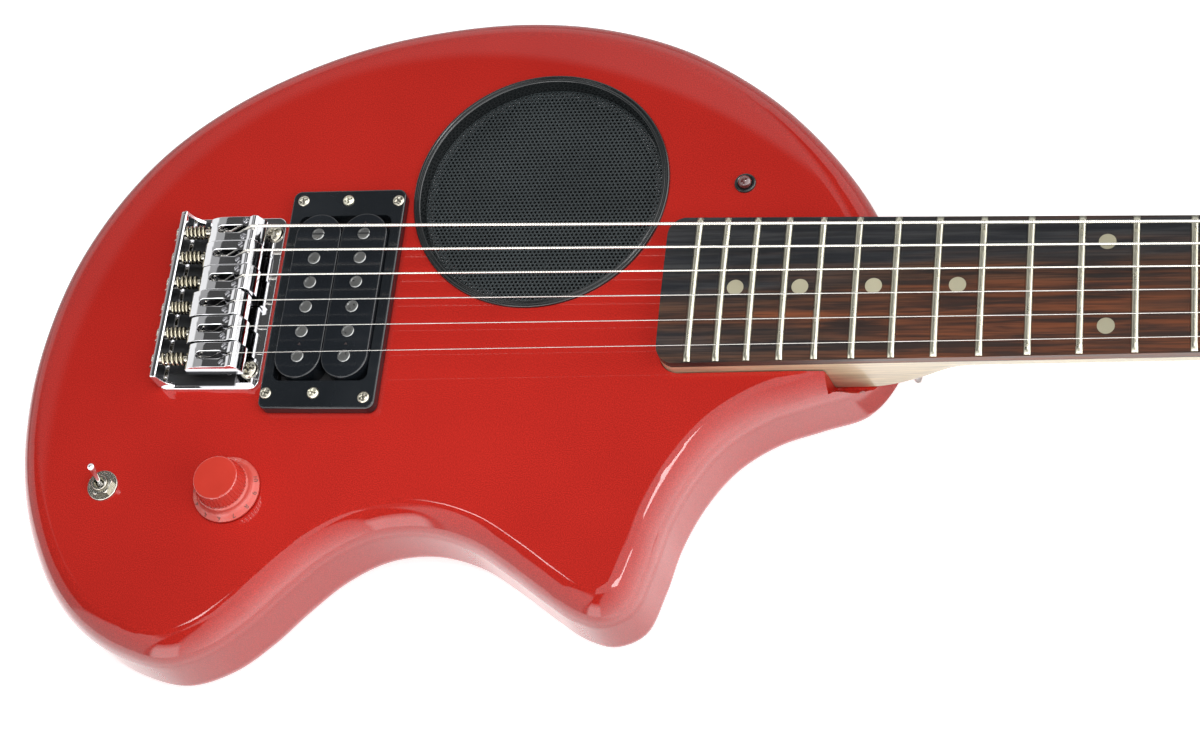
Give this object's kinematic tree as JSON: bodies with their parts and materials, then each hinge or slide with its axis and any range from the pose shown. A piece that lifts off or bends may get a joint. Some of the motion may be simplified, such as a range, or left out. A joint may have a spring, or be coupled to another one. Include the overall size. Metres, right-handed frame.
{
  "type": "travel electric guitar with built-in amplifier",
  "caption": "Short-scale travel electric guitar with a glossy red rounded body, a built-in speaker and amplifier, one pickup, a hardtail bridge and a bolt-on maple neck.",
  "frame": {"origin": "on the flat back, below the point where the string scale ends at the bridge, on the centre line", "axes": "+X along the strings from the bridge to the headstock, +Y to the bass side, +Z out of the face; the guitar lies on its back"},
  "size_m": [0.8729, 0.2619, 0.0536],
  "materials": {
    "red_lacquer": "high gloss red lacquer",
    "maple": "satin clear",
    "rosewood": "oiled",
    "bone": "polished",
    "chrome": "bright",
    "nickel": "satin",
    "steel": "satin",
    "string_wire": "wound and plain wire",
    "black_plastic": "semi gloss",
    "coil_black": "satin",
    "grille_black": "matt black",
    "cone_black": "paper",
    "red_plastic": "gloss",
    "lamp_red": "clear",
    "battery_case": "satin",
    "board_green": "solder mask"
  },
  "bodies": {
    "guitar": {"body": "red_lacquer", "neck": "maple", "truss_rod": "steel", "fretboard": "rosewood", "nut": "bone", "string_tree": "nickel", "neck_plate": "chrome", "heel_strap_button": "chrome", "tail_strap_button": "chrome", "bridge_plate": "chrome", "pickup_ring": "black_plastic", "speaker_bezel": "black_plastic", "speaker_grille": "grille_black", "speaker_frame": "steel", "volume_pot": "nickel", "power_switch": "nickel", "power_lamp": "lamp_red", "back_cover": "black_plastic", "battery_cover": "black_plastic", "battery": "battery_case", "amp_board": "board_green", "output_jack": "chrome", "tuner_strip": "chrome", "saddle_spring_1": "nickel", "string_1": "string_wire", "saddle_spring_2": "nickel", "string_2": "string_wire", "saddle_spring_3": "nickel", "string_3": "string_wire", "saddle_spring_4": "nickel", "string_4": "string_wire", "saddle_spring_5": "nickel", "string_5": "string_wire", "saddle_spring_6": "nickel", "string_6": "string_wire"},
    "volume": {"volume_knob": "red_plastic", "volume_shaft": "nickel"},
    "switch": {"switch_lever": "chrome"},
    "cone": {"speaker_cone": "cone_black"},
    "pickup": {"pickup_base": "nickel", "bridge_coil": "coil_black", "neck_coil": "coil_black"},
    "saddle_slide_1": {"saddle_1": "chrome"},
    "button_1": {"tuner_button_1": "chrome"},
    "post_1": {"tuner_post_1": "nickel"},
    "saddle_slide_2": {"saddle_2": "chrome"},
    "button_2": {"tuner_button_2": "chrome"},
    "post_2": {"tuner_post_2": "nickel"},
    "saddle_slide_3": {"saddle_3": "chrome"},
    "button_3": {"tuner_button_3": "chrome"},
    "post_3": {"tuner_post_3": "nickel"},
    "saddle_slide_4": {"saddle_4": "chrome"},
    "button_4": {"tuner_button_4": "chrome"},
    "post_4": {"tuner_post_4": "nickel"},
    "saddle_slide_5": {"saddle_5": "chrome"},
    "button_5": {"tuner_button_5": "chrome"},
    "post_5": {"tuner_post_5": "nickel"},
    "saddle_slide_6": {"saddle_6": "chrome"},
    "button_6": {"tuner_button_6": "chrome"},
    "post_6": {"tuner_post_6": "nickel"}
  },
  "joints": [
    {"name": "volume_turn", "type": "hinge", "parent": "guitar", "child": "volume", "pos_m": [0.0055, -0.075, 0.04], "axis": [0, 0, 1], "range_deg": [0, 280]},
    {"name": "switch_throw", "type": "hinge", "parent": "guitar", "child": "switch", "pos_m": [-0.0435, -0.0736, 0.0419], "axis": [1, 0, 0], "range_deg": [0, 30]},
    {"name": "cone_travel", "type": "slide", "parent": "guitar", "child": "cone", "axis": [0, 0, 1], "range_m": [-0.001, 0.001], "stiffness_N_per_m": 2800},
    {"name": "pickup_height", "type": "slide", "parent": "guitar", "child": "pickup", "axis": [0, 0, 1], "range_m": [-0.0015, 0.0015]},
    {"name": "intonation_1", "type": "slide", "parent": "guitar", "child": "saddle_slide_1", "axis": [1, 0, 0], "range_m": [0, 0.003], "deforming": ["saddle_spring_1"]},
    {"name": "intonation_2", "type": "slide", "parent": "guitar", "child": "saddle_slide_2", "axis": [1, 0, 0], "range_m": [0, 0.003], "deforming": ["saddle_spring_2"]},
    {"name": "intonation_3", "type": "slide", "parent": "guitar", "child": "saddle_slide_3", "axis": [1, 0, 0], "range_m": [0, 0.003], "deforming": ["saddle_spring_3"]},
    {"name": "intonation_4", "type": "slide", "parent": "guitar", "child": "saddle_slide_4", "axis": [1, 0, 0], "range_m": [0, 0.003], "deforming": ["saddle_spring_4"]},
    {"name": "intonation_5", "type": "slide", "parent": "guitar", "child": "saddle_slide_5", "axis": [1, 0, 0], "range_m": [0, 0.003], "deforming": ["saddle_spring_5"]},
    {"name": "intonation_6", "type": "slide", "parent": "guitar", "child": "saddle_slide_6", "axis": [1, 0, 0], "range_m": [0, 0.003], "deforming": ["saddle_spring_6"]},
    {"name": "button_turn_1", "type": "hinge", "parent": "guitar", "child": "button_1", "pos_m": [0.64, 0.0213, 0.01955], "axis": [0.1961, 0.9806, 0], "continuous": true},
    {"name": "post_turn_1", "type": "hinge", "parent": "guitar", "child": "post_1", "pos_m": [0.64, 0.0213, 0.03], "axis": [0, 0, 1], "continuous": true},
    {"name": "button_turn_2", "type": "hinge", "parent": "guitar", "child": "button_2", "pos_m": [0.6645, 0.0164, 0.01955], "axis": [0.1961, 0.9806, 0], "continuous": true},
    {"name": "post_turn_2", "type": "hinge", "parent": "guitar", "child": "post_2", "pos_m": [0.6645, 0.0164, 0.03], "axis": [0, 0, 1], "continuous": true},
    {"name": "button_turn_3", "type": "hinge", "parent": "guitar", "child": "button_3", "pos_m": [0.689, 0.0115, 0.01955], "axis": [0.1961, 0.9806, 0], "continuous": true},
    {"name": "post_turn_3", "type": "hinge", "parent": "guitar", "child": "post_3", "pos_m": [0.689, 0.0115, 0.03], "axis": [0, 0, 1], "continuous": true},
    {"name": "button_turn_4", "type": "hinge", "parent": "guitar", "child": "button_4", "pos_m": [0.7135, 0.0066, 0.01955], "axis": [0.1961, 0.9806, 0], "continuous": true},
    {"name": "post_turn_4", "type": "hinge", "parent": "guitar", "child": "post_4", "pos_m": [0.7135, 0.0066, 0.03], "axis": [0, 0, 1], "continuous": true},
    {"name": "button_turn_5", "type": "hinge", "parent": "guitar", "child": "button_5", "pos_m": [0.738, 0.0017, 0.01955], "axis": [0.1961, 0.9806, 0], "continuous": true},
    {"name": "post_turn_5", "type": "hinge", "parent": "guitar", "child": "post_5", "pos_m": [0.738, 0.0017, 0.03], "axis": [0, 0, 1], "continuous": true},
    {"name": "button_turn_6", "type": "hinge", "parent": "guitar", "child": "button_6", "pos_m": [0.7625, -0.0032, 0.01955], "axis": [0.1961, 0.9806, 0], "continuous": true},
    {"name": "post_turn_6", "type": "hinge", "parent": "guitar", "child": "post_6", "pos_m": [0.7625, -0.0032, 0.03], "axis": [0, 0, 1], "continuous": true}
  ],
  "couplings": [
    {"joint": "post_turn_1", "follows": "button_turn_1", "ratio": 0.071429},
    {"joint": "post_turn_2", "follows": "button_turn_2", "ratio": 0.071429},
    {"joint": "post_turn_3", "follows": "button_turn_3", "ratio": 0.071429},
    {"joint": "post_turn_4", "follows": "button_turn_4", "ratio": 0.071429},
    {"joint": "post_turn_5", "follows": "button_turn_5", "ratio": 0.071429},
    {"joint": "post_turn_6", "follows": "button_turn_6", "ratio": 0.071429}
  ]
}
